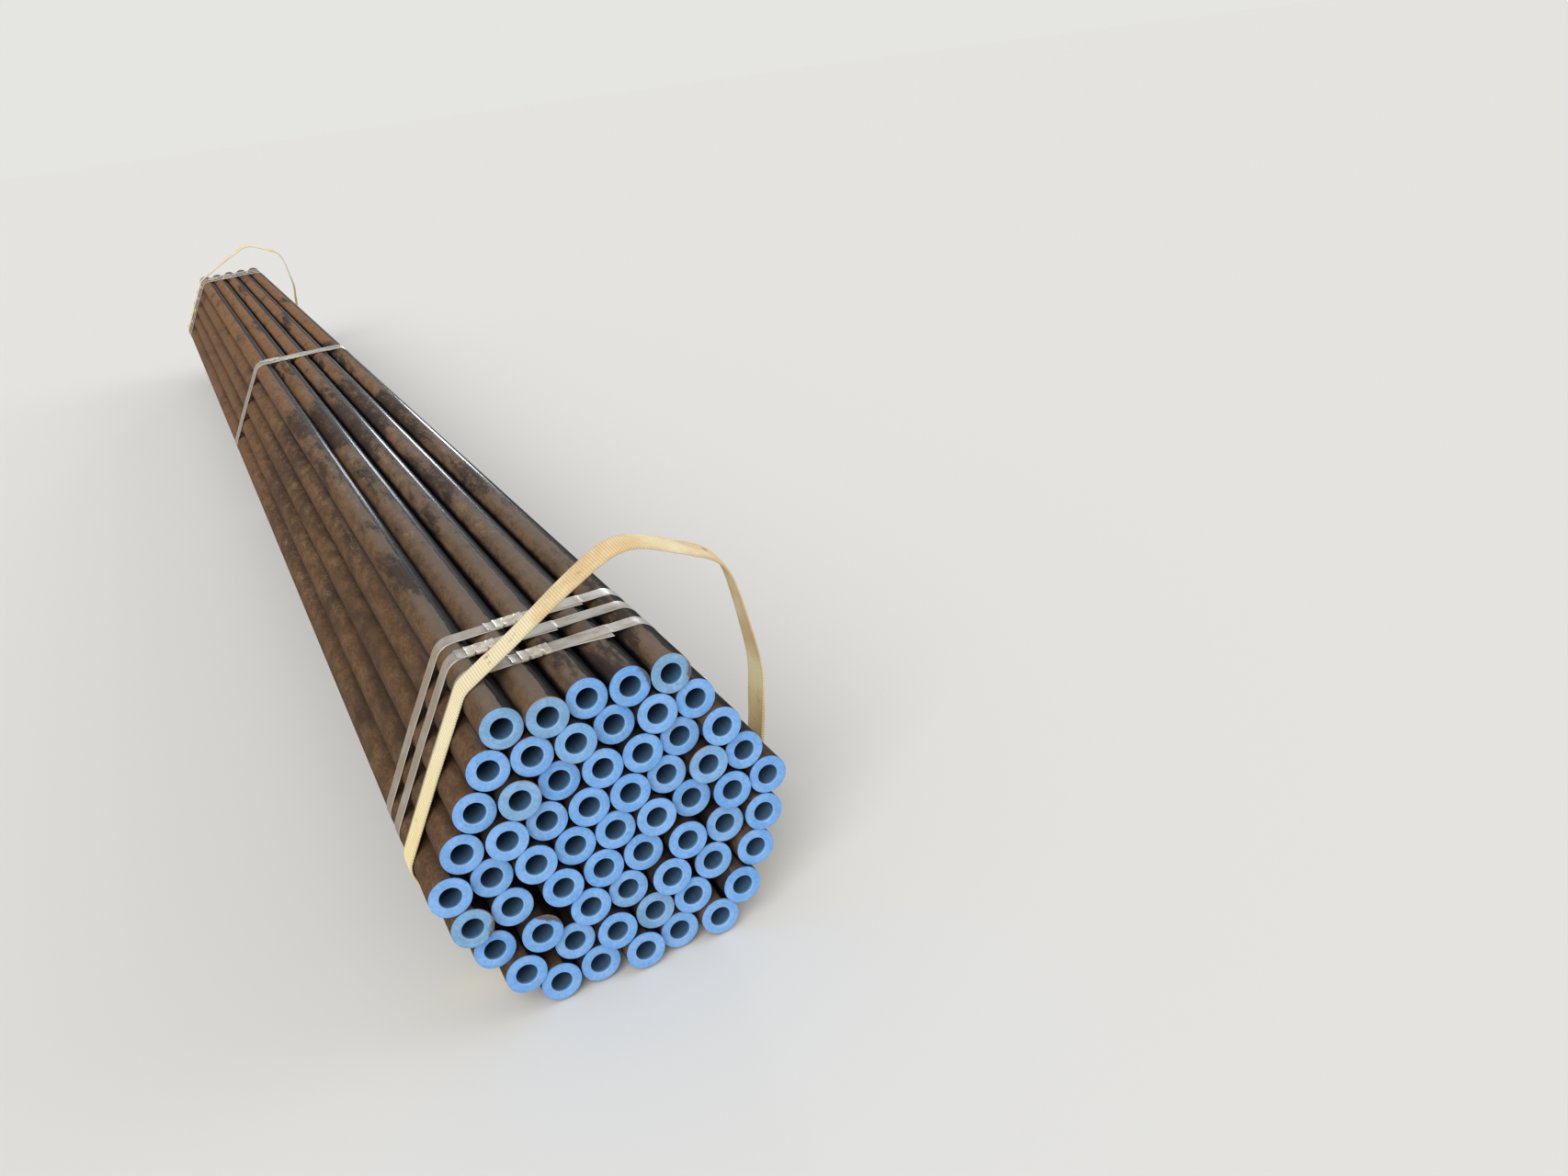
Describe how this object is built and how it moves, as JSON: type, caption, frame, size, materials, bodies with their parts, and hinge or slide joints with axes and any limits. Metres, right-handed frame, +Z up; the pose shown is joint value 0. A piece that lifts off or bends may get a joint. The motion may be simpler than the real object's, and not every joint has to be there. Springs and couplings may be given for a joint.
{
  "type": "bundle of steel pipes",
  "caption": "Six-sided bundle of long thick-walled steel pipes with painted ends, steel straps with crimped seals and two slack webbing slings.",
  "frame": {"origin": "middle of the whole bundle's footprint, on the floor that it lies on", "axes": "+Y along the pipes, away from the front ends that the picture shows; +Z up; +X to the right seen from the front"},
  "size_m": [0.577, 6.016, 0.6262],
  "materials": {
    "pipe_steel": "dark mill scale with a dusty brown rust film; end faces painted pale sky blue",
    "strap_steel": "weathered grey steel strapping",
    "seal_steel": "bright crimped sheet steel, scuffed",
    "webbing": "undyed cream polyester webbing with a cross-ribbed weave, soiled"
  },
  "bodies": {
    "root": {"pipes_row_1": "pipe_steel", "pipes_row_2": "pipe_steel", "pipes_row_3": "pipe_steel", "pipes_row_4": "pipe_steel", "pipes_row_5": "pipe_steel", "pipes_row_6": "pipe_steel", "pipes_row_7": "pipe_steel", "pipes_row_8": "pipe_steel", "pipes_row_9": "pipe_steel", "strap_front_1": "strap_steel", "seal_front_1": "seal_steel", "strap_front_2": "strap_steel", "seal_front_2": "seal_steel", "strap_front_3": "strap_steel", "seal_front_3": "seal_steel", "strap_middle_1": "strap_steel", "seal_middle_1": "seal_steel", "strap_middle_2": "strap_steel", "seal_middle_2": "seal_steel", "strap_rear_1": "strap_steel", "seal_rear_1": "seal_steel", "strap_rear_2": "strap_steel", "seal_rear_2": "seal_steel", "strap_rear_3": "strap_steel", "seal_rear_3": "seal_steel", "sling_front": "webbing", "sling_rear": "webbing"}
  },
  "joints": []
}
